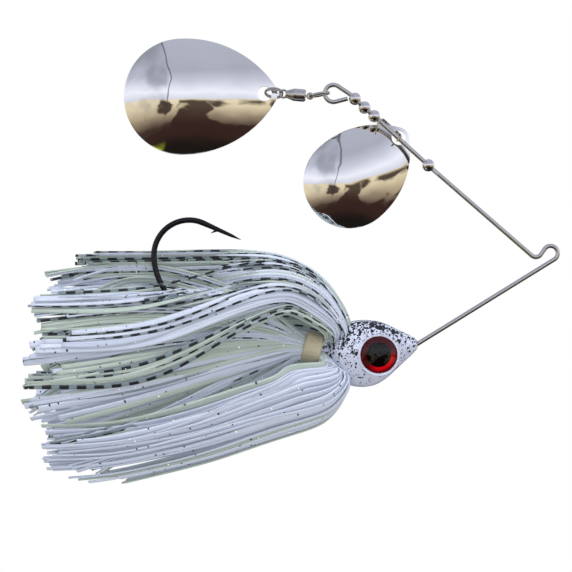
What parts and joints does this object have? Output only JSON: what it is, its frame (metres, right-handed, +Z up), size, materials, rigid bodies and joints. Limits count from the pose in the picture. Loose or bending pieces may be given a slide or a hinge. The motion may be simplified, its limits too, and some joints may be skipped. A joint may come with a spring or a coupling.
{
  "type": "spinnerbait",
  "caption": "Double-blade spinnerbait: bent wire arm, painted lead head with an eye, upturned hook, collared silicone skirt, small blade on a clevis and large blade on a swivel.",
  "frame": {"origin": "centre of the open R-shaped line-tie bend at the nose of the wire arm", "axes": "+X forward, from the skirt's tail to the line tie; +Z up, the side of the hook point and the blades; the wire arm and the hook lie in the XZ plane"},
  "size_m": [0.1201, 0.0296, 0.1015],
  "materials": {
    "stainless_wire": "drawn wire, satin",
    "black_nickel": "dark plated, glossy",
    "painted_lead": "white paint with black spatter under a clear coat",
    "red_foil": "metallic foil",
    "black_pupil": "gloss",
    "clear_dome": "clear, gloss",
    "collar_rubber": "translucent tan",
    "silicone_strands": "milky translucent, flecked and barred",
    "nickel_bead": "polished",
    "nickel_plate": "mirror polish",
    "ring_steel": "polished wire",
    "swivel_nickel": "polished"
  },
  "bodies": {
    "arm_and_head": {"wire_frame": "stainless_wire", "hook": "black_nickel", "head": "painted_lead", "eye_foil_left": "red_foil", "eye_foil_right": "red_foil", "eye_pupil_left": "black_pupil", "eye_pupil_right": "black_pupil", "eye_lens_left": "clear_dome", "eye_lens_right": "clear_dome", "skirt_collar": "collar_rubber", "skirt_inner_strands": "silicone_strands", "skirt_bundle_01": "silicone_strands", "skirt_bundle_02": "silicone_strands", "skirt_bundle_03": "silicone_strands", "skirt_bundle_04": "silicone_strands", "skirt_bundle_05": "silicone_strands", "skirt_bundle_06": "silicone_strands", "skirt_bundle_07": "silicone_strands", "skirt_bundle_08": "silicone_strands", "skirt_bundle_09": "silicone_strands", "skirt_bundle_10": "silicone_strands", "skirt_bundle_11": "silicone_strands", "skirt_bundle_12": "silicone_strands"},
    "loop_bead": {"loop_bead": "nickel_bead"},
    "middle_bead": {"middle_bead": "nickel_bead"},
    "clevis_bead": {"clevis_bead": "nickel_bead"},
    "stop_bead": {"stop_bead": "nickel_bead"},
    "clevis": {"clevis": "nickel_plate"},
    "small_blade": {"small_blade": "nickel_plate"},
    "hanger_ring": {"hanger_ring": "ring_steel"},
    "swivel_shaft": {"swivel_shaft": "ring_steel"},
    "swivel_barrel": {"swivel_barrel": "swivel_nickel", "swivel_cap": "swivel_nickel", "swivel_balls": "ring_steel", "swivel_tail_eye": "ring_steel"},
    "split_ring": {"split_ring": "ring_steel"},
    "large_blade": {"large_blade": "nickel_plate"}
  },
  "joints": [
    {"name": "loop_bead_spin", "type": "hinge", "parent": "arm_and_head", "child": "loop_bead", "pos_m": [-0.04446, 0, 0.03507], "axis": [-0.7414, 0, 0.6711], "continuous": true},
    {"name": "middle_bead_spin", "type": "hinge", "parent": "arm_and_head", "child": "middle_bead", "pos_m": [-0.04227, 0, 0.03309], "axis": [-0.7414, 0, 0.6711], "continuous": true},
    {"name": "stop_bead_spin", "type": "hinge", "parent": "arm_and_head", "child": "stop_bead", "pos_m": [-0.02777, 0, 0.01997], "axis": [-0.7414, 0, 0.6711], "continuous": true},
    {"name": "clevis_bead_slide", "type": "slide", "parent": "arm_and_head", "child": "clevis_bead", "axis": [0.7414, 0, -0.6711], "range_m": [0, 0.0035]},
    {"name": "clevis_spin", "type": "hinge", "parent": "clevis_bead", "child": "clevis", "pos_m": [-0.04009, 0, 0.03111], "axis": [-0.7414, 0, 0.6711], "continuous": true},
    {"name": "small_blade_swing", "type": "hinge", "parent": "clevis", "child": "small_blade", "pos_m": [-0.03439, 0.0017, 0.02636], "axis": [-0.7414, 0, 0.6711], "range_deg": [-22, 18]},
    {"name": "hanger_ring_swing", "type": "hinge", "parent": "arm_and_head", "child": "hanger_ring", "pos_m": [-0.0513, 0, 0.03629], "axis": [0, 0, 1], "range_deg": [-40, 40]},
    {"name": "swivel_tip", "type": "hinge", "parent": "hanger_ring", "child": "swivel_shaft", "pos_m": [-0.05466, 0, 0.0357], "axis": [0, 1, 0], "range_deg": [-15, 60]},
    {"name": "swivel_spin", "type": "hinge", "parent": "swivel_shaft", "child": "swivel_barrel", "pos_m": [-0.05466, 0, 0.0357], "axis": [-0.9965, 0, 0.0837], "continuous": true},
    {"name": "split_ring_swing", "type": "hinge", "parent": "swivel_barrel", "child": "split_ring", "pos_m": [-0.06155, 0, 0.03628], "axis": [0.0837, 0, 0.9965], "range_deg": [-30, 30]},
    {"name": "large_blade_swing", "type": "hinge", "parent": "split_ring", "child": "large_blade", "pos_m": [-0.06489, 0.0001, 0.03651], "axis": [0, 1, 0], "range_deg": [-15, 45]}
  ]
}
